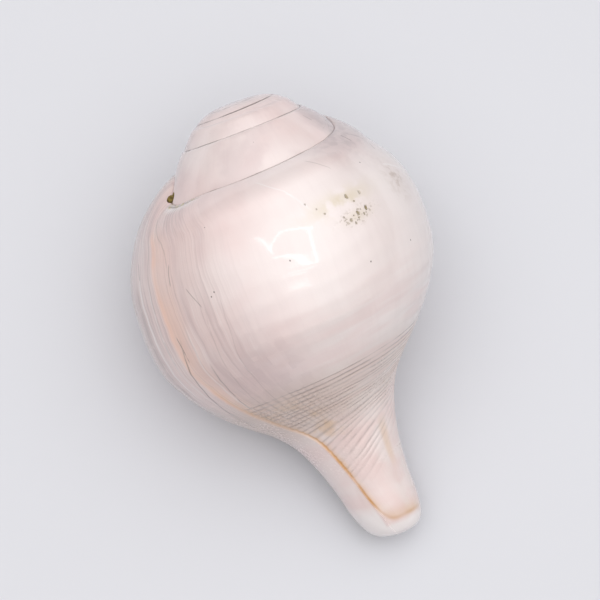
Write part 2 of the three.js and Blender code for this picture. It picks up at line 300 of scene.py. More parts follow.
def skin_group():
    """Plain outer skin: radius and distance at a growth angle and a station of the section."""
    tree, given, result = new_group("Skin of the whorl", SKIN_INPUTS, [("Point", "Vector")])
    growth, station, size = given["Growth"], given["Station"], given["Expansion"]
    upper = on_guide(given["Suture"], (growth - SPIRAL_START) / SUTURE_STEP)
    lower = on_guide(given["Suture"], (growth - SPIRAL_START + 360) / SUTURE_STEP)
    lip = on_guide(given["Lip section"], station * GUIDE_STEPS)
    old = on_guide(given["Old section"], station * GUIDE_STEPS)
    shrunk = size ** ((growth + 360) / 360)
    grown = grown_share(growth, size)
    old_top = on_guide(given["Old section"], station * 0)
    lip_top = on_guide(given["Lip section"], station * 0)
    last_turn = blend(old, lip, grown) + (upper - blend(old_top, lip_top, grown)) * rise(station, 6, 0)
    share = station / SEAM
    bulge = 4 * share * (1 - share) * BAND_BULGE * MM * shrunk * rise(growth, -362, -420)
    bulge = bulge * rise(growth, *FIRST_GROWTH)
    band = blend(upper, lower, share) + combined(bulge * 0.7, bulge * -0.7, 0)
    early = blend(old * shrunk, band, reckon("LESS_THAN", station, SEAM + 0.0001))
    fill(tree, result.inputs[0], blend(last_turn, early, reckon("LESS_THAN", growth, -360.01)))
    return tree


def wall_group(skin):
    """Place of a point that stands off the plain skin, in the shell's own frame with the axis upright."""
    inputs = SKIN_INPUTS + (("Height", "Float"), ("Crown", "Float"))
    tree, given, result = new_group("Point on a wall", inputs, [("Place", "Vector")])
    shared = {label: given[label] for label, kind in SKIN_INPUTS}
    plain, before, after = (
        group_values(tree, skin, shared | {"Station": station})[0]
        for station in (
            given["Station"],
            reckon("MAXIMUM", given["Station"] - 0.05, 0),
            reckon("MINIMUM", given["Station"] + 0.05, TIP),
        )
    )
    across = field(tree, "ShaderNodeVectorMath", {"operation": "NORMALIZE"}, {0: after - before})
    run_out, run_along, _ = parts(across)
    radius, along, _ = parts(plain + combined(run_along, -run_out, 0) * given["Height"])
    dome = CROWN_DOME * MM * (radius / (CROWN_RADIUS * MM)) ** DOME_POWER
    slope = CROWN_DOME * MM + (radius - CROWN_RADIUS * MM) * CROWN_SLOPE
    worn_down = given["Crown"] + reckon("MINIMUM", dome, slope)
    along = reckon("SMOOTH_MAX", along, worn_down, CROWN_ROUNDING * MM)
    angle = given["Growth"] * (math.pi / 180)
    bent_share = reckon("MAXIMUM", along / MM - BEND_START, 0) / (LIP_SECTION[-1][0] - BEND_START)
    bent = BEND * MM * bent_share ** 2
    x = radius * reckon("COSINE", angle) + bent * math.cos(math.radians(BEND_DIRECTION))
    y = radius * reckon("SINE", angle) + bent * math.sin(math.radians(BEND_DIRECTION))
    fill(tree, result.inputs[0], combined(x, -y, -along))
    return tree


# Skin, lip, mouth and canal
#
# The outer skin with its fine relief: the ledge under the suture, the ledge of the old growth stop,
# the cords of the lower body and the flats left by grinding by hand. The mouth, the canal and the
# small hole at the end of the suture are cut out of it.
WALL = 3.6
LIP_FLARE = 1.3
LIP_ROUNDING = 1.5
MOUTH_END = -252
PILLAR_SLIM = 2.5
FOLDS = (10.5, 11.35, 12.2, 13.0)
FOLD_HEIGHT = 1.6
FOLD_WIDTH = 0.2
# Growth angles of the hollow along its block, from deep inside to in front of the lip.
MOUTH_ANGLES = ((0, MOUTH_END), (0.78, -8), (0.93, 3), (1, 12))
# Groove of the canal, in mm: its two ends down the axis, and at distances down the axis the centre from
# the axis, the radius and the depth of the slot.
CANAL_FROM, CANAL_TO = 83, 139
CANAL_X = (
    (83, 19.2), (88, 17.0), (93, 13.8), (98, 10.8), (104, 8.2), (111, 6.4), (119, 5.4), (128, 5.0),
    (139, 4.9),
)
CANAL_RADIUS = (
    (83, 1.6), (88, 3.0), (93, 3.7), (98, 3.7), (104, 3.3), (111, 2.9), (119, 2.6), (128, 2.5),
    (139, 2.6),
)
CANAL_SLOT = ((83, 0.1), (88, 0.3), (93, 1.0), (98, 2.2), (104, 3.0), (111, 3.3), (139, 3.4))
SLOT_REACH = 24.0
NOTCH_ANGLE = -58
NOTCH_SIZE = (1.3, 1.5, 2.2)
NOTCH_RAISE = 0.9
# How the rows and columns of the mesh are shared out: close at the growth stop, the lip and the cords.
COLUMN_SHARES = (
    (0, 0), (0.76, 0.80), (0.775, 0.832), (0.825, 0.8425), (0.84, 0.86), (0.93, 0.97), (1, 1),
)
ROW_STATIONS = ((0, SEAM), (0.25, 10.3), (0.90, 16.4), (1, TIP))
LAG_START = -230
# The ledge under the suture comes up and fades in stations, the one at the growth stop in degrees.
LEDGE_EDGE = 0.14
LEDGE_FADE = 1.3
STOP_FADE = 24
FLAT_SPREAD = 7.5
FLAT_CURVE = 40
CORDS = 24
CORD_START = 10.6
CORD_END = 15.9
SHARP_EDGE = 0.7


def grid(tree, columns, rows, growth_of, station_of):
    """Flat grid that carries its growth angle and its station of the section."""
    node = new_node(tree, "GeometryNodeMeshGrid", None,
                    {"Size X": 1.0, "Size Y": 1.0, "Vertices X": columns, "Vertices Y": rows})
    across, down, _ = parts(field(tree, "GeometryNodeInputPosition"))
    across, down = across + 0.5, down + 0.5
    mesh = Field(tree, node.outputs[0])
    for name, value in (("growth", growth_of(across)), ("station", station_of(across, down))):
        mesh = stored(mesh, name, value)
    return mesh


def stored(mesh, name, value, kind="FLOAT", domain="POINT"):
    return field(mesh.tree, "GeometryNodeStoreNamedAttribute", {"data_type": kind, "domain": domain},
                 {"Geometry": mesh, "Name": name, "Value": value})


def named(tree, name):
    return field(tree, "GeometryNodeInputNamedAttribute", {"data_type": "FLOAT"}, {"Name": name})


def moved(mesh, position):
    return field(mesh.tree, "GeometryNodeSetPosition", None, {"Geometry": mesh, "Position": position})


def joined(tree, meshes):
    node = tree.nodes.new("GeometryNodeJoinGeometry")
    for mesh in meshes:
        tree.links.new(mesh.socket, node.inputs[0])
    return Field(tree, node.outputs[0])


def leaning(growth, station):
    """Growth lines lean back towards the canal, most at the old growth stop."""
    lag = through(station, GROWTH_LAG)
    after = growth / GROWTH_STOP
    before = (growth - LAG_START) / (GROWTH_STOP - LAG_START)
    share = blend(before, after, reckon("GREATER_THAN", growth, GROWTH_STOP))
    return growth + lag * rise(share, 0, 1)


def relief(growth, station, given):
    """Height of the fine relief over the plain skin."""
    tip = rise(station, 18.6, 17)
    spire = rise(growth, -330, -360)
    ledge = given["Suture ledge"] * (1 - math.e ** (station / -LEDGE_EDGE))
    height = ledge * math.e ** (station / -LEDGE_FADE)
    height = height * (1 - reckon("MINIMUM", station / SEAM, 1) * spire)
    past = growth - GROWTH_STOP
    stopped = blend(0.4, 1.0, rise(station, 8, 14)) * math.e ** (past / -STOP_FADE)
    stopped = stopped * tip * rise(station, 0, 3)
    height = height + given["Growth ledge"] * stopped * rise(past, -0.7, 0.7)
    cord = cord_share(growth, station)
    zone = rise(cord, -0.02, 0.04) * rise(cord, 1, 0.75) * rise(past, 2, -2)
    groove = (0.5 - 0.5 * reckon("COSINE", cord * (2 * math.pi) * given["Cords"])) ** 2.5
    height = height - given["Cord height"] * zone * groove * worn_patches(growth, station)
    flat = reckon("FRACT", station * 1.6 + reckon("SINE", growth * 0.11) * 0.12)
    hollowed = 4 * flat * (1 - flat)
    height = height - given["Flat depth"] * hollowed * rise(station, 4.5, 7) * rise(station, 11, 10)
    lines = streaks(growth, station, 0.9, 0.2) * rise(growth, -92, -66) * rise(station, 0.5, 2) * tip
    lines = lines * rise(growth, -2, -12) * rise(station, 13.0, 10.0)
    height = height + given["Growth lines"] * lines
    return height * rise(growth, *FIRST_GROWTH)


def cord_share(growth, station):
    """From 0 at the first cord to 1 at the last. Towards the canal the cords lean and lie unevenly."""
    lean = (growth + 110) * 0.009 * rise(station, 11.3, 14.5)
    share = (station - lean - CORD_START) / (CORD_END - CORD_START)
    return share + reckon("SINE", share * 31) * 0.006 + reckon("SINE", share * 53 + 1) * 0.004


def worn_patches(growth, station):
    """The cords are worn down in places, so that they fade in and out along the whorl."""
    noise = field(growth.tree, "ShaderNodeTexNoise", None,
                  {"Vector": combined(growth * 0.03, station * 0.9, 0), "Scale": 1.0, "Detail": 1.0})
    return 0.45 + 0.9 * rise(noise, 0.35, 0.62)


def streaks(growth, station, fine, drift):
    """Uneven lines that run from the suture to the canal, around zero."""
    noise = field(growth.tree, "ShaderNodeTexNoise", None,
                  {"Vector": combined(growth * fine, station * drift, 3), "Scale": 1.0, "Detail": 3.0})
    return (noise - 0.5) * 2


def ground_flats(mesh, given):
    """Small flats left by grinding by hand, and the slow unevenness under them."""
    tree = mesh.tree
    position = field(tree, "GeometryNodeInputPosition")
    spread = FLAT_SPREAD * MM
    cell = field(tree, "ShaderNodeTexVoronoi", None, {"Vector": position, "Scale": 1 / spread}) * spread
    depth = given["Facet depth"] - cell * cell / (2 * FLAT_CURVE * MM)
    slow = field(tree, "ShaderNodeTexNoise", None, {"Vector": position, "Scale": 55.0, "Detail": 1.0}) - 0.5
    station, growth = named(tree, "station"), named(tree, "growth")
    covered = rise(station, 2.9, 3.8) * rise(growth, -355, -362)
    free = rise(station, 0.15, 0.9) * (1 - covered) * rise(station, 17.5, 15)
    free = free * rise(growth, -1, -8) * rise(growth, -1150, -1050)
    height = (slow * given["Unevenness"] - reckon("MAXIMUM", depth, 0)) * free
    normal = field(tree, "GeometryNodeInputNormal")
    return field(tree, "GeometryNodeSetPosition", None, {"Geometry": mesh, "Offset": normal * height})


def painted(mesh, finish):
    return field(mesh.tree, "GeometryNodeSetMaterial", None, {"Geometry": mesh, "Material": finish})


def whorl_sheets(tree, given):
    """Sheets of the skin: shoulder and spire, body, and the two narrow ones that close the lip."""
    def turn_share(across):
        return through(across, COLUMN_SHARES)

    def all_turns(across):
        phase = across * given["Turns"]
        whole = reckon("FLOOR", phase)
        return (whole + turn_share(phase - whole) - given["Turns"]) * 360

    def last_turn(across):
        return (turn_share(across) - 1) * 360

    def lip_closing(across):
        return across * -360

    def shoulder_station(across, down):
        return down ** 1.7 * SEAM

    def body_station(across, down):
        return through(down, ROW_STATIONS)

    def closing_station(across, down):
        return blend(shoulder_station(across, down), float(SEAM), across)

    shoulder_rows, body_rows = given["Shoulder rows"], given["Body rows"]
    columns = given["Columns a turn"]
    return joined(tree, (
        grid(tree, given["Turns"] * columns + 1, shoulder_rows, all_turns, shoulder_station),
        grid(tree, columns + 1, body_rows, last_turn, body_station),
        grid(tree, 2, shoulder_rows, lip_closing, closing_station),
        grid(tree, 2, body_rows, lip_closing, body_station),
    ))


def whorls(tree, given, wall_rule, shared):
    """Outer skin with its relief, closed by the lip and the crown."""
    growth, station = named(tree, "growth"), named(tree, "station")
    azimuth = leaning(growth, station)
    rounded = reckon("MAXIMUM", 1 + azimuth / 5, 0)
    edge = 1 - (1 - rounded * rounded) ** 0.5
    height = relief(growth, station, given)
    height = height - LIP_ROUNDING * MM * edge * rise(station, 0, 2) * rise(station, 18, 14)
    skin = whorl_sheets(tree, given)
    skin = stored(skin, "growth_map", combined(growth / 360, station / TIP, 0), "FLOAT2", "CORNER")
    values = {"Growth": azimuth, "Station": station, "Height": height}
    skin = moved(skin, group_values(tree, wall_rule, shared | values)[0])
    skin = field(tree, "GeometryNodeMergeByDistance", None, {"Geometry": skin, "Distance": 0.0002 * MM})
    return painted(ground_flats(skin, given), given["Skin"])


def mouth_hollow(tree, given, wall_rule, shared):
    """Hollow of the last turn, as a bent block: outer wall above, pillar with its folds below."""
    block = new_node(tree, "GeometryNodeMeshCube", None,
                     {"Size": (1, 1, 1), "Vertices X": 90, "Vertices Y": 60, "Vertices Z": 2})
    across, down, up = (part + 0.5 for part in parts(field(tree, "GeometryNodeInputPosition")))
    angle = through(across, MOUTH_ANGLES)
    grown = grown_share(angle, given["Expansion"])
    outer_station = blend(blend(6.0, 3.4, grown), blend(13.0, 14.6, grown), down)
    inner_station = blend(6.2, 14.6, down)
    opened = reckon("MINIMUM", reckon("MAXIMUM", 1 + angle / 5, 0), 1)
    wall = given["Wall"] - LIP_FLARE * MM * (1 - (1 - opened * opened) ** 0.5)
    inside = rise(angle, -4, -32)
    folds = sum(math.e ** (-(((inner_station - fold) / FOLD_WIDTH) ** 2)) for fold in FOLDS)
    pillar = blend(-0.45 * MM, 0.6 * MM, reckon("MINIMUM", reckon("MAXIMUM", angle / 3, 0), 1))
    pillar = pillar - PILLAR_SLIM * MM * rise(inner_station, 12.5, 14.5) * inside
    pillar = pillar + given["Fold height"] * folds * inside
    values = {
        "Growth": blend(angle - 360, angle, up),
        "Station": blend(inner_station, outer_station, up),
        "Height": blend(pillar, -wall, up),
    }
    hollow = moved(Field(tree, block.outputs[0]), group_values(tree, wall_rule, shared | values)[0])
    return painted(hollow, given["Lining"])


def canal_groove(tree, given):
    """Open canal: a round channel, and a slot beside the edge of the lip that leads into it."""
    channel = new_node(tree, "GeometryNodeMeshCylinder", {"fill_type": "NGON"},
                       {"Vertices": 28, "Side Segments": 40, "Radius": 1.0, "Depth": 1.0})
    slot = new_node(tree, "GeometryNodeMeshCube", None,
                    {"Size": (1, 1, 1), "Vertices X": 6, "Vertices Y": 2, "Vertices Z": 40})
    x, y, z = parts(field(tree, "GeometryNodeInputPosition"))
    along = CANAL_TO - (z + 0.5) * (CANAL_TO - CANAL_FROM)
    middle, radius = through(along, CANAL_X, True), through(along, CANAL_RADIUS, True)
    round_place = combined(middle + radius * x, 1 + radius * y, -along) * MM
    groove = moved(Field(tree, channel.outputs[0]), round_place)
    out = blend(middle + 0.4, SLOT_REACH, x + 0.5)
    deep = blend(-through(along, CANAL_SLOT, True), 0.2, y + 0.5)
    gap = moved(Field(tree, slot.outputs[0]), combined(out, deep, -along) * MM)
    return painted(groove, given["Lining"]), painted(gap, given["Lining"])


def suture_hole(tree, given):
    """Small hole at the raised end of the suture, which dirt has filled."""
    along, radius = suture_point(NOTCH_ANGLE)
    turned = math.radians(NOTCH_ANGLE)
    middle = Vector((radius * math.cos(turned), -radius * math.sin(turned), -along + NOTCH_RAISE))
    ball = field(tree, "GeometryNodeMeshIcoSphere", None, {"Radius": 1.0, "Subdivisions": 4})
    hole = field(tree, "GeometryNodeTransform", None,
                 {"Geometry": ball, "Translation": middle * MM, "Scale": Vector(NOTCH_SIZE) * MM})
    return painted(hole, given["Dirt"])


def growth_tree():
    """The whole shell: whorls, less the mouth, the canal and the hole, laid down in its resting pose."""
    inputs = (
        ("Lip section", "Object"), ("Old section", "Object"), ("Suture", "Object"), ("Expansion", "Float"),
        ("Turns", "Int"), ("Columns a turn", "Int"), ("Shoulder rows", "Int"), ("Body rows", "Int"),
        ("Suture ledge", "Float"), ("Growth ledge", "Float"), ("Cords", "Int"), ("Cord height", "Float"),
        ("Flat depth", "Float"), ("Growth lines", "Float"), ("Facet depth", "Float"),
        ("Unevenness", "Float"), ("Crown", "Float"), ("Wall", "Float"), ("Fold height", "Float"),
        ("Skin", "Material"), ("Lining", "Material"), ("Dirt", "Material"),
        ("Resting pose", "Rotation"), ("Seat", "Vector"),
    )
    tree, given, result = new_group("Growth of the shell", inputs, [("Geometry", "Geometry")])
    wall_rule = wall_group(skin_group())
    shared = {"Expansion": given["Expansion"], "Crown": given["Crown"]}
    for label in ("Lip section", "Old section", "Suture"):
        shared[label] = field(tree, "GeometryNodeObjectInfo", None, {"Object": given[label]}, "Geometry")
    cut = new_node(tree, "GeometryNodeMeshBoolean", {"operation": "DIFFERENCE", "solver": "MANIFOLD"},
                   {0: whorls(tree, given, wall_rule, shared)})
    hollow = mouth_hollow(tree, given, wall_rule, shared)
    for piece in (hollow, *canal_groove(tree, given), suture_hole(tree, given)):
        tree.links.new(piece.socket, cut.inputs[1])
    upright = Field(tree, cut.outputs[0])
    seat = {"Geometry": upright, "Translation": given["Seat"], "Rotation": given["Resting pose"]}
    shell = field(tree, "GeometryNodeTransform", None, seat)
    # The spots that rest on the floor are level with it.
    x, y, z = parts(field(tree, "GeometryNodeInputPosition"))
    shell = moved(shell, combined(x, y, reckon("MAXIMUM", z, 0)))
    shell = field(tree, "GeometryNodeSetShadeSmooth", None, {"Geometry": shell})
    sharp = reckon("GREATER_THAN", field(tree, "GeometryNodeInputMeshEdgeAngle"), SHARP_EDGE)
    shell = field(tree, "GeometryNodeSetShadeSmooth", {"domain": "EDGE"},
                  {"Geometry": shell, "Selection": sharp, "Shade Smooth": False})
    for name in ("growth", "station"):
        shell = field(tree, "GeometryNodeRemoveAttribute", None, {"Geometry": shell, "Name": name})
    shell = field(tree, "GeometryNodeRealizeInstances", None, {"Geometry": shell})
    fill(tree, result.inputs[0], shell)
    return tree


# Finish of the skin
#
# Polished lime, milky white with pink and lilac where the wall is thin. Growth lines run from the
# suture to the canal, peach beside the old growth stop, and the stop itself is a rust-orange line.
# Dirt sits in the suture and in a patch of pits on the shoulder. Grey-lilac painted shade lies on the
# shoulder, on the back of the spire and beside the stop, where painted checks stand for the ground flats.
CREAM = (0.88, 0.81, 0.79, 1)
PINK = (0.82, 0.65, 0.63, 1)
LILAC = (0.60, 0.47, 0.475, 1)
GREY_LILAC = (0.47, 0.39, 0.395, 1)
PEACH = (0.85, 0.585, 0.485, 1)
RUST = (0.55, 0.26, 0.06, 1)
AMBER = (0.74, 0.48, 0.25, 1)
GROOVE = (0.33, 0.25, 0.225, 1)
OCHRE = (0.60, 0.50, 0.26, 1)
DIRT = (0.115, 0.085, 0.075, 1)
CHALK = (0.90, 0.85, 0.84, 1)
WARM_PINK = (0.66, 0.47, 0.43, 1)
TAN = (0.50, 0.39, 0.33, 1)
CORD_BROWN = (0.60, 0.47, 0.40, 1)
PIT_BROWN = (0.27, 0.205, 0.08, 1)
# Lines that can be made out one by one: station and growth angle of both ends, width in mm, darkness.
GROWTH_LINES = (
    (8.0, -69.5, 12.0, -59.6, 0.35, 0.55), (7.0, -61.0, 11.9, -44.4, 0.38, 0.75),
    (5.0, -43.8, 9.6, -40.0, 1.7, 0.42), (4.3, -45.3, 4.85, -46.8, 0.22, 0.9),
    (4.6, -66.9, 5.3, -66.0, 0.25, 0.6), (5.5, -73.2, 6.2, -77.2, 0.2, 0.6),
    (6.8, -60.2, 7.7, -60.6, 0.2, 0.9), (1.2, -59.5, 4.8, -65.9, 0.3, 0.35),
    (2.0, -56.0, 8.0, -51.5, 0.4, 0.3), (6.4, -78.0, 11.0, -70.0, 0.25, 0.22),
    (6.0, -86.0, 11.2, -78.5, 0.25, 0.2), (3.0, -36.0, 12.0, -33.0, 0.4, 0.3),
    (2.0, -24.0, 13.5, -25.5, 0.3, 0.25), (4.0, -13.0, 14.0, -14.0, 0.35, 0.2),
    (1.3, -148.0, 3.7, -152.5, 0.25, 0.3),
)
CRACKS = (
    (2.6, -565.5, 3.5, -549.0, 0.35, 0.8), (0.9, -183.5, 2.3, -182.0, 0.3, 0.7),
    (2.9, -560.0, 3.2, -541.0, 0.3, 0.6), (3.8, -198.5, 4.3, -193.0, 0.35, 0.7),
    (1.0, -541.5, 1.9, -543.0, 0.3, 0.6), (1.3, -188.0, 3.4, -194.0, 0.3, 0.4),
)
PALE_LINES = (
    (4.8, -46.6, 9.2, -45.6, 0.6, 0.8), (1.2, -120.8, 4.2, -128.0, 0.35, 0.75),
    (3.7, -126.0, 4.9, -133.0, 0.5, 0.6), (4.7, -183.5, 5.2, -196.0, 0.9, 0.9),
    (6.6, -66.8, 11.0, -62.8, 0.5, 0.45), (5.0, -53.0, 10.0, -50.5, 0.5, 0.5),
)
# Pits of the worn patch, and single specks: growth angle, station, size in mm, darkness.
PITS = (
    (-150.0, 4.9, 0.75, 0.7), (-156.8, 5.0, 0.6, 0.45), (-152.0, 5.15, 0.4, 0.55),
    (-146.4, 5.6, 0.45, 0.7), (-150.6, 5.5, 0.5, 0.9), (-153.6, 5.62, 0.4, 0.8),
    (-155.6, 5.5, 0.5, 1.0), (-148.2, 5.75, 0.4, 0.7), (-144.0, 5.45, 0.3, 0.7),
    (-136.8, 5.1, 0.35, 0.6), (-131.4, 4.55, 0.4, 0.5), (-134.6, 4.85, 0.3, 0.5),
)
SPECKS = (
    (-116.3, 5.9, 0.3), (-84.3, 5.9, 0.28), (-82.6, 6.0, 0.28), (-87.5, 3.6, 0.26), (-519, 0.1, 0.35),
    (-808, 2.5, 0.3), (-487.5, 1.4, 0.22), (-170.3, 4.25, 0.3), (-173.0, 7.1, 0.3), (-147.3, 7.0, 0.3),
    (-205.0, 6.2, 0.26), (-236.0, 5.0, 0.3),
)
# How far a degree of growth is along the skin, in mm, for each station.
MM_PER_DEGREE = (
    (0, 0.5), (4, 0.75), (6, 0.79), (9, 0.72), (12, 0.46), (15, 0.23), (17, 0.17), (19, 0.1),
)
MM_PER_STATION = 8.0
# The orange line of the stop: growth angle, station where it turns round the tip, mm per station there.
STOP_LINE = -58.3
STOP_TURN = 17.25
MM_PER_TIP_STATION = 4.2


def tint(base, colour, share):
    """The base colour, changed to another where the share is 1."""
    settings = {"data_type": "RGBA"}
    return field(share.tree, "ShaderNodeMix", settings, {0: share, 6: base, 7: colour}, 2)


def cloud(vector, scale, detail=2.0):
    values = {"Vector": vector, "Scale": scale, "Detail": detail}
    return field(vector.tree, "ShaderNodeTexNoise", None, values)


def near(value, middle, sharpness):
    """Soft mask: 1 at the middle, and close to 0 from twice 1 / sharpness away."""
    return math.e ** (((value - middle) * sharpness) ** 2 * -1.0)


def new_finish(name):
    """Material with its tree and its shader."""
    made = bpy.data.materials.new(name)
    made.use_nodes = True
    return made, made.node_tree, made.node_tree.nodes["Principled BSDF"]


def place_on_piece(tree):
    return field(tree, "ShaderNodeTexCoord", None, None, "Object")


def surface(tree, shader, colour, rough, height):
    """Colour, roughness and fine relief of a finish; the height is in mm."""
    bump = new_node(tree, "ShaderNodeBump", None, {"Strength": 1.0, "Distance": MM, "Height": height})
    fill(tree, shader.inputs["Base Color"], colour)
    fill(tree, shader.inputs["Roughness"], rough)
    tree.links.new(bump.outputs[0], shader.inputs["Normal"])


def line_group():
    """Mask of one line across the growth map, between two of its places; both ends fade out."""
    names = ("Growth", "Station", "From station", "From growth", "To station", "To growth", "Width", "Degree")
    inputs = [(name, "Float") for name in names]
    tree, given, result = new_group("Line on the skin", inputs, [("Mask", "Float")], "ShaderNodeTree")
    station = given["Station"]
    share = (station - given["From station"]) / (given["To station"] - given["From station"])
    middle = blend(given["From growth"], given["To growth"], share)
    away = (given["Growth"] - middle) * given["Degree"] / given["Width"]
    fade = rise(share, -0.05, 0.12) * rise(share, 1.05, 0.88)
    fill(tree, result.inputs[0], math.e ** (away * away * -2) * fade)
    return tree


def spot_group():
    """Mask of one spot on the growth map, with a ragged edge."""
    names = ("Growth", "Station", "Ragged", "At growth", "At station", "Size", "Degree")
    inputs = [(name, "Float") for name in names]
    tree, given, result = new_group("Spot on the skin", inputs, [("Mask", "Float")], "ShaderNodeTree")
    wide = (given["Growth"] - given["At growth"]) * given["Degree"]
    high = (given["Station"] - given["At station"]) * MM_PER_STATION
    away = (wide * wide + high * high) ** 0.5 / given["Size"] + given["Ragged"]
    fill(tree, result.inputs[0], rise(away, 1.0, 0.45))
    return tree


def lime_group():
    """Slow clouds, ripple and fine grain of lime."""
    outputs = [("Clouds", "Float"), ("Ripple", "Float"), ("Grain", "Float")]
    tree, given, result = new_group("Polished lime", [("Place", "Vector")], outputs, "ShaderNodeTree")
    place = given["Place"]
    fill(tree, result.inputs["Clouds"], rise(cloud(place, 38.0, 3.0), 0.32, 0.68))
    fill(tree, result.inputs["Ripple"], cloud(place, 160.0, 1.0))
    fill(tree, result.inputs["Grain"], cloud(place, 1500.0, 2.0))
    return tree


line_mask, spot_mask, lime = line_group(), spot_group(), lime_group()


def line_share(growth, station, degree, line):
    """How strong one line of the lists is at a place of the growth map."""
    first, first_growth, second, second_growth, width, strength = line
    mask = group_values(growth.tree, line_mask, {
        "Growth": growth, "Station": station, "From station": first, "From growth": first_growth,
        "To station": second, "To growth": second_growth, "Width": width, "Degree": degree,
    })[0]
    return mask * strength


def spot_share(growth, station, degree, ragged, spot):
    """The same for one spot."""
    at_growth, at_station, size = spot
    return group_values(growth.tree, spot_mask, {
        "Growth": growth, "Station": station, "Ragged": ragged, "At growth": at_growth,
        "At station": at_station, "Size": size, "Degree": degree,
    })[0]


skin_finish, tree, shader = new_finish("polished_skin")
across, down, _ = parts(field(tree, "ShaderNodeAttribute", {"attribute_name": "growth_map"}, None, "Vector"))
place = place_on_piece(tree)
clouds, ripple, grain = group_values(tree, lime, {"Place": place})

# Streaks along the growth lines, and broad bands round the whorl.
wander = cloud(place, 110.0, 2.0) - 0.5
growth = across * 360 + wander * 2.2
station = down * TIP + wander * 0.12
last_turn = rise(growth, -362, -356)
fine = cloud(combined(growth * 1.1, station * 0.22, 1), 1.0, 4.0)
broad = cloud(combined(growth * 0.22, station * 0.3, 7), 1.0, 2.0)
banded = cloud(combined(growth * 0.018, station * 1.5, 4), 1.0, 2.0)
degree = through(station, MM_PER_DEGREE)
flank = rise(growth, -100, -66) * rise(station, 13.0, 10.0) * last_turn
low_body = rise(station, 6.0, 9.5) * last_turn
creamy = rise(growth, -96, -128) * rise(station, 2.5, 5.0) * last_turn

# Ground colour: pink clouds on cream, lilac streaks on the flank. Beside the stop, faint checks and a
# grey-lilac veil are painted shade of the ground flats; the shoulder and the back of the spire get
# painted grey-lilac shade.
colour = tint(CREAM, PINK, (0.35 + 0.65 * clouds) * (1 - 0.75 * creamy))
colour = tint(colour, PINK, rise(banded, 0.4, 0.65) * low_body * 0.6)
colour = tint(colour, LILAC, rise(broad, 0.42, 0.7) * (0.06 + 0.6 * flank))
# Painted shade: lilac checks, and grey-lilac over the whole patch, stand for the shading of the ground flats.
checks = {"Vector": combined(growth * 0.22, station * 2.0, 0), "Scale": 1.0, "Randomness": 0.75}
squares = field(tree, "ShaderNodeTexVoronoi", {"distance": "CHEBYCHEV"}, checks, "Color")
square, _, _ = parts(field(tree, "ShaderNodeVectorMath", {"operation": "ABSOLUTE"}, {0: squares}))
painted_facet_shade = low_body * rise(growth, -118, -84) * rise(growth, -60, -68) * rise(station, 11.5, 10.2)
colour = tint(colour, LILAC, rise(square, 0.1, 1.0) * painted_facet_shade * 0.38)
colour = tint(colour, GREY_LILAC, painted_facet_shade * 0.28)
colour = tint(colour, GREY_LILAC, rise(fine, 0.52, 0.74) * (0.03 + 0.6 * flank))
colour = tint(colour, CHALK, rise(fine, 0.42, 0.3) * flank * 0.5)
colour = tint(colour, WARM_PINK, flank * 0.32)
# Painted shade: grey-lilac, mottled a little, darkens the shoulder and the back of the spire, the sides
# turned away from the light.
shoulder = rise(growth, -142, -176) * rise(station, 5.4, 1.8) * last_turn
painted_spire_shade = rise(growth, -535, -550) * rise(growth, -600, -570)
mottle = rise(cloud(place, 420.0, 3.0), 0.42, 0.62)
colour = tint(colour, GREY_LILAC, reckon("MAXIMUM", shoulder, painted_spire_shade) * (0.5 + 0.22 * mottle))
on_spire = rise(growth, -356, -364)
colour = tint(colour, LILAC, on_spire * (0.03 + 0.3 * rise(cloud(place, 95.0, 3.0), 0.42, 0.64)))
tan_patch = near(growth, -184.5, 0.15) * near(station, 5.3, 1.8)
colour = tint(colour, TAN, tan_patch * (0.25 + 0.5 * mottle))

# Peach band behind the old growth stop, amber in the lattice of the cords and at the canal.
beside_stop = rise(growth, -71.0, -63.5) * rise(growth, -56.2, -58.2)
beside_stop = beside_stop * rise(station, 1.2, 4.0) * rise(station, 15.0, 11.5)
nearness = 0.35 + 0.65 * math.e ** ((growth - STOP_LINE) * 0.2)
colour = tint(colour, PEACH, beside_stop * nearness * (0.5 + 0.5 * rise(cloud(place, 90.0, 2.0), 0.3, 0.58)))
amber_patch = rise(growth, -100, -82) * rise(growth, -57, -60)
amber_patch = amber_patch * rise(station, 10.6, 12.0) * rise(station, 14.6, 13.2)
colour = tint(colour, AMBER, amber_patch * rise(cloud(place, 170.0, 3.0), 0.44, 0.64) * 0.75)
canal_back = rise(growth, -250, -190) * rise(growth, -60, -75) * rise(station, 12.5, 14.5)
colour = tint(colour, PEACH, canal_back * 0.1)
canal_streak = rise(station, 14.0, 14.8) * rise(station, 16.0, 15.2)
canal_streak = canal_streak * rise(growth, -160, -146) * rise(growth, -132, -142)
colour = tint(colour, AMBER, canal_streak * 0.35)

# The stop itself, which turns round the tip of the canal in a small bend. Past it the tip is pale.
past_stop = (growth - STOP_LINE) * degree
past_tip = (down * TIP - STOP_TURN) * MM_PER_TIP_STATION
stop_away = reckon("SMOOTH_MAX", past_stop, past_tip, 5.0)
stop_end = rise(growth, -215, -130)
faint = rise(cloud(place, 150.0, 2.0), 0.25, 0.6)
at_tip = rise(past_tip, -3.5, -1.0)
stop_line = math.e ** (stop_away * stop_away * -10.0) * rise(station, 8.6, 12.0) * stop_end
stop_line = stop_line * (0.55 + 0.45 * faint) * (1 - 0.6 * at_tip)
stop_halo = math.e ** (stop_away * stop_away * -0.6) * rise(station, 7.0, 12.0) * stop_end
stop_halo = stop_halo * rise(stop_away, 0.9, -0.2)
colour = tint(colour, AMBER, stop_halo * (0.2 + 0.3 * faint))
pale_tip = reckon("MAXIMUM", rise(past_tip, 0.3, 1.4), rise(past_stop, 0.4, 1.2) * at_tip)
colour = tint(colour, CHALK, pale_tip * 0.85)
colour = tint(colour, RUST, stop_line * 0.85)

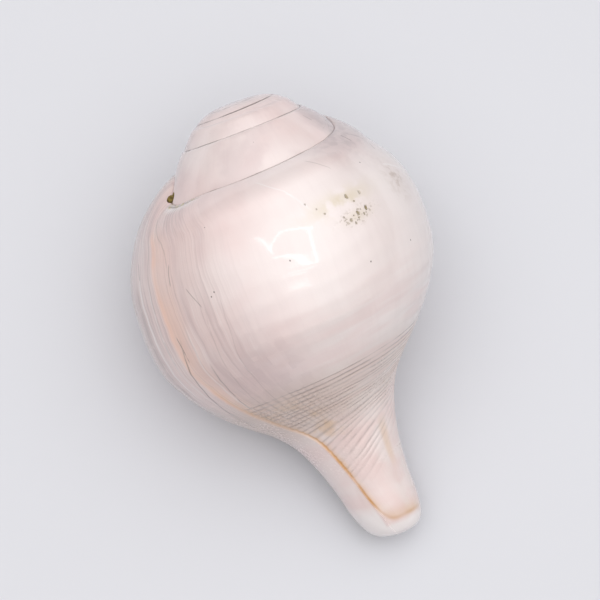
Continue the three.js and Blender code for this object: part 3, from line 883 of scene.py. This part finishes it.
# Cords: a browner ground, dirt in their grooves, crossed by growth lines near the stop.
cord_ground = rise(station, 9.4, 11.4) * rise(station, 14.5, 12.5) * last_turn
colour = tint(colour, CORD_BROWN, cord_ground * (0.4 + 0.25 * rise(growth, -140, -90)))
cord = cord_share(growth, station)
cord_zone = rise(cord, -0.03, 0.03) * rise(cord, 1.0, 0.72) * rise(growth, -58, -61) * last_turn
groove = (0.5 - 0.5 * reckon("COSINE", cord * (2 * math.pi * CORDS))) ** 4.0 * cord_zone
worn = rise(cloud(combined(growth * 0.035, station * 1.6, 5), 1.0, 2.0), 0.36, 0.58)
crossed = rise(growth, -112, -88) * rise(station, 13.6, 12.4) * cord_zone
crossing = (0.5 + 0.5 * reckon("SINE", growth * 1.35 + wander * 4)) ** 3.0 * crossed
groove = groove * (0.12 + 0.88 * worn) * (1 - 0.45 * rise(cord, 0.35, 0.7))
colour = tint(colour, GROOVE, reckon("MAXIMUM", groove, crossing * 0.6) * 0.5)

# Fine relief in mm. It holds none of the single lines, which would make the shader too long.
height = (fine - 0.5) * (0.012 * rise(station, 13.0, 10.0) + 0.17 * flank)
height = height + (ripple - 0.5) * 0.03 + (grain - 0.5) * 0.0025
height = height - groove * 0.12 - crossing * 0.1
flats = field(tree, "ShaderNodeTexVoronoi", None, {"Vector": place, "Scale": 260.0, "Randomness": 0.9})
height = height + flats * flats * 0.035 * rise(station, 11.5, 9.0)

# Dirt in the suture, under the chipped rim at its raised end, and in lines and cracks.
in_suture = rise(station, 0.12, 0.03) * rise(growth, -52, -60)
in_suture = in_suture * (1 - 0.75 * rise(growth, -166, -180) * last_turn)
open_suture = rise(growth, -536, -526) * rise(growth, -416, -424)
lower_edge = rise(station, 3.92, 3.98) * rise(growth, -362, -364) * (0.5 + 0.5 * open_suture)
patchy = 0.3 + 0.6 * rise(cloud(place, 190.0, 3.0), 0.38, 0.6)
dark = reckon("MAXIMUM", in_suture, lower_edge) * patchy
chipped = rise(growth, -60, -64) * rise(growth, -92, -76)
rim_away = (station - 0.44 - wander * 0.5) / 0.06
dark = reckon("MAXIMUM", dark, math.e ** (rim_away * rim_away * -1.0) * chipped * 0.8)
height = height - dark * 0.25
broken = rise(cloud(place, 330.0, 2.0), 0.2, 0.5)
for line in GROWTH_LINES + CRACKS:
    dark = reckon("MAXIMUM", dark, line_share(growth, station, degree, line) * broken)
colour = tint(colour, CHALK, chipped * rise(station, 1.1, 0.5) * rise(station, 0.02, 0.1) * 0.75)
pale = 0
for line in PALE_LINES:
    pale = pale + line_share(growth, station, degree, line)
pale = pale + rise(growth, -6, -2.5) * rise(station, 5, 8)
colour = tint(colour, CHALK, reckon("MINIMUM", pale, 1.0) * 0.8)
rough = dark * 0.2
colour = tint(colour, DIRT, dark * 0.8)
rim_crumbs = rise(station, 0.62, 0.4) * rise(cloud(place, 700.0, 2.0), 0.48, 0.6)
colour = tint(colour, OCHRE, chipped * rim_crumbs * 0.8)

# Worn patch on the shoulder: an ochre stain, pits and crumbs of dirt; and single specks elsewhere.
around_pits = near(growth, -150.5, 0.14) * near(station, 5.58, 5.5)
stain = near(growth, -146, 0.07) * near(station, 4.98, 3.2)
stain = stain * rise(cloud(place, 240.0, 3.0), 0.36, 0.6)
colour = tint(colour, OCHRE, reckon("MAXIMUM", stain, around_pits * 0.6) * 0.5)
ragged = (cloud(place, 1400.0, 2.0) - 0.5) * 1.6
crumbs = rise(cloud(place, 1150.0, 1.0), 0.56, 0.63) * around_pits
pitted = crumbs * 0.8
for *spot, strength in PITS:
    pitted = reckon("MAXIMUM", pitted, spot_share(growth, station, degree, ragged, spot) * strength)
colour = tint(colour, PIT_BROWN, pitted * 0.9)
height = height - pitted * 0.35
specks = 0
for spot in SPECKS:
    specks = specks + spot_share(across * 360, down * TIP, degree, ragged * 0.3, spot)
colour = tint(colour, DIRT, specks * 0.9)
cords = rise(station, 10.4, 11.2) * rise(station, 16.2, 15.2)
rough = rough + 0.09 + clouds * 0.05 + cords * 0.16 + pitted * 0.4 + (grain - 0.5) * 0.08
surface(tree, shader, colour, rough, height)
shader.inputs["Coat Weight"].default_value = 0.4
shader.inputs["Coat Roughness"].default_value = 0.03


# Lining of the mouth
#
# Inside, the wall keeps its own glaze, which no wheel has reached: white at the lip and warmer
# orange-pink deep in the whorl and on the pillar.
WHITE_GLAZE = (0.84, 0.74, 0.69, 1)
WARM_GLAZE = (0.80, 0.50, 0.33, 1)
GLAZE_WARMS = (0.004, 0.03)

lining_finish, tree, shader = new_finish("mouth_lining")
place = place_on_piece(tree)
clouds, ripple, grain = group_values(tree, lime, {"Place": place})
_, _, height_up = parts(place)
deep = rise(height_up, *GLAZE_WARMS)
colour = tint(WHITE_GLAZE, WARM_GLAZE, deep * (0.55 + 0.35 * clouds))
height = (ripple - 0.5) * 0.1 + (grain - 0.5) * 0.01
surface(tree, shader, colour, 0.22 + clouds * 0.12, height)
shader.inputs["Coat Weight"].default_value = 0.3
shader.inputs["Coat Roughness"].default_value = 0.08


# Dirt in the hole
#
# Earth that has set hard in the small hole at the raised end of the suture. It is dull and
# yellow-brown, with darker lumps.
PALE_EARTH = (0.30, 0.22, 0.055, 1)
DARK_EARTH = (0.10, 0.065, 0.02, 1)

dirt_finish, tree, shader = new_finish("packed_dirt")
lumps = cloud(place_on_piece(tree), 900.0, 3.0)
colour = tint(PALE_EARTH, DARK_EARTH, rise(lumps, 0.35, 0.65))
surface(tree, shader, colour, 0.7 + lumps * 0.2, lumps * 0.3)


# Shell at rest
#
# It lies mouth down on the floor, with its axis tilted and rolled as in the photograph. The growth
# tree runs once, its mesh is kept, and the guides are taken away.
TILT = 19.9
ROLL = 39.9
SEAT = Vector((3.3143, 67.4507, 51.0867)) * MM

axis_up = Vector((0, math.cos(math.radians(TILT)), math.sin(math.radians(TILT))))
sideways = Vector((-1, 0, 0))
over = Vector((0, -math.sin(math.radians(TILT)), math.cos(math.radians(TILT))))
lipward = sideways * math.cos(math.radians(ROLL)) - over * math.sin(math.radians(ROLL))
crosswise = sideways * math.sin(math.radians(ROLL)) + over * math.cos(math.radians(ROLL))
pose = Matrix((lipward, crosswise, axis_up)).transposed()

shell = bpy.data.objects.new("polished_shell", bpy.data.meshes.new("polished_shell"))
bpy.context.scene.collection.objects.link(shell)
grow = shell.modifiers.new("growth", "NODES")
grow.node_group = growth_tree()
settings = {
    "Lip section": lip_guide, "Old section": old_guide, "Suture": suture_guide, "Expansion": EXPANSION,
    "Turns": 5, "Columns a turn": 180, "Shoulder rows": 14, "Body rows": 250,
    "Suture ledge": 0.55 * MM, "Growth ledge": 0.5 * MM, "Cords": CORDS, "Cord height": 0.15 * MM,
    "Flat depth": 0.09 * MM, "Growth lines": 0.12 * MM, "Facet depth": 0.07 * MM, "Unevenness": 0.4 * MM,
    "Crown": CROWN * MM, "Wall": WALL * MM, "Fold height": FOLD_HEIGHT * MM,
    "Skin": skin_finish, "Lining": lining_finish, "Dirt": dirt_finish,
    "Resting pose": pose.to_euler(), "Seat": SEAT,
}
for socket in grow.node_group.interface.items_tree:
    if socket.in_out == "INPUT":
        grow[socket.identifier] = settings[socket.name]
grown = shell.evaluated_get(bpy.context.evaluated_depsgraph_get())
mesh = bpy.data.meshes.new_from_object(grown)
if mesh.materials[0] is None:
    mesh.materials.pop(index=0)
shell.modifiers.clear()
shell.data = mesh
for made in (lip_guide, old_guide, suture_guide):
    bpy.data.objects.remove(made)
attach(shell, "root")
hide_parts("conch_shell")


# Floor, light and camera
#
# The floor is matt, pale grey-blue paper. A soft sky brightens towards the top, and thin bright panes
# stand where a window and its blinds are mirrored in the shell. The camera looks down steeply.
PAPER = (0.67, 0.675, 0.71, 1)
SKY_SIDE = Vector((0.06, 0.03, 1.0)).normalized()
SKY_LOW = 0.08
SKY_GAIN = 1.72
SKY_TINTS = (1.0, 0.88, 0.86, 1), (1.0, 1.0, 1.0, 1)
WINDOW = Vector((0.064, 0.0, 0.729))
WINDOW_UP = Vector((0.347, 0.910, 0.225))
WINDOW_BRIGHTNESS = 3.8
# Bright edges of the window and its blinds: across, up, width and height of each pane in m, and its
# turn in degrees.
WINDOW_EDGES = (
    (0.02, 0.150, 0.34, 0.022, -6), (0.175, 0.0, 0.024, 0.30, 12), (0.0, -0.155, 0.36, 0.02, 6),
    (-0.165, 0.02, 0.02, 0.24, -18), (-0.30, 0.03, 0.012, 0.30, 38), (-0.36, 0.07, 0.012, 0.24, 38),
    (-0.25, -0.02, 0.012, 0.24, 38), (0.06, -0.235, 0.30, 0.014, 10), (0.02, -0.29, 0.2, 0.012, 10),
)
# Camera: degrees round and up, distance in m, size of a pixel at the shell, and the pixel of the picture
# that the shell's own centre is on.
AZIMUTH, ELEVATION, DISTANCE, PIXEL = -20.88, 77.0, 0.6, 0.2588 * MM
CENTRE_X, CENTRE_Y = 301.8, 312.1
AIM_HEIGHT = 0.04
PICTURE = 600
SENSOR = 36


def soft_box(name, place, spin, width, depth):
    """Area light of the same brightness all over, turned about the line to the shell."""
    data = bpy.data.lights.new(name, "AREA")
    data.shape = "RECTANGLE"
    data.size = width
    data.size_y = depth
    data.energy = math.pi * width * depth * WINDOW_BRIGHTNESS
    lamp = bpy.data.objects.new(name, data)
    back = place.normalized()
    across = WINDOW_UP.cross(back).normalized()
    face = Matrix((across, back.cross(across), back)).transposed()
    spun = face @ Matrix.Rotation(math.radians(spin), 3, "Z")
    lamp.matrix_world = Matrix.Translation(place) @ spun.to_4x4()
    bpy.context.scene.collection.objects.link(lamp)


bpy.ops.mesh.primitive_plane_add(size=6, location=(0, 0, 0))
floor = bpy.context.object
floor.name = "floor"
paper, _, shader = new_finish("floor_paper")
shader.inputs["Base Color"].default_value = PAPER
shader.inputs["Roughness"].default_value = 0.9
floor.data.materials.append(paper)

bpy.context.scene.view_settings.view_transform = "Standard"
world = bpy.data.worlds.new("studio")
bpy.context.scene.world = world
world.use_nodes = True
sky = world.node_tree
backdrop = sky.nodes["Background"]
toward = field(sky, "ShaderNodeTexCoord", None, None, "Generated")
facing = field(sky, "ShaderNodeVectorMath", {"operation": "DOT_PRODUCT"}, {0: toward, 1: SKY_SIDE}, "Value")
fill(sky, backdrop.inputs["Strength"], SKY_LOW + SKY_GAIN * rise(facing, 0.28, 1.0))
fill(sky, backdrop.inputs["Color"], tint(*SKY_TINTS, rise(facing, 0.0, 0.85)))

turn, lift = math.radians(AZIMUTH), math.radians(ELEVATION)
back = Vector((math.sin(turn) * math.cos(lift), -math.cos(turn) * math.cos(lift), math.sin(lift)))
right = Vector((math.cos(turn), math.sin(turn), 0))
up = back.cross(right)
for number, (side, rise_up, width, depth, spin) in enumerate(WINDOW_EDGES):
    place = WINDOW + right * side + up * rise_up
    soft_box("window_edge_" + str(number), place, spin, width, depth)
camera = bpy.data.objects.new("camera", bpy.data.cameras.new("camera"))
off_x, off_y = CENTRE_X - PICTURE / 2, CENTRE_Y - PICTURE / 2
aim = Vector((0, 0, AIM_HEIGHT)) - right * off_x * PIXEL + up * off_y * PIXEL
camera.location = aim + back * DISTANCE
camera.rotation_euler = Matrix((right, up, back)).transposed().to_euler()
camera.data.sensor_width = SENSOR
camera.data.lens = SENSOR * DISTANCE / (PICTURE * PIXEL)
bpy.context.scene.collection.objects.link(camera)
bpy.context.scene.camera = camera
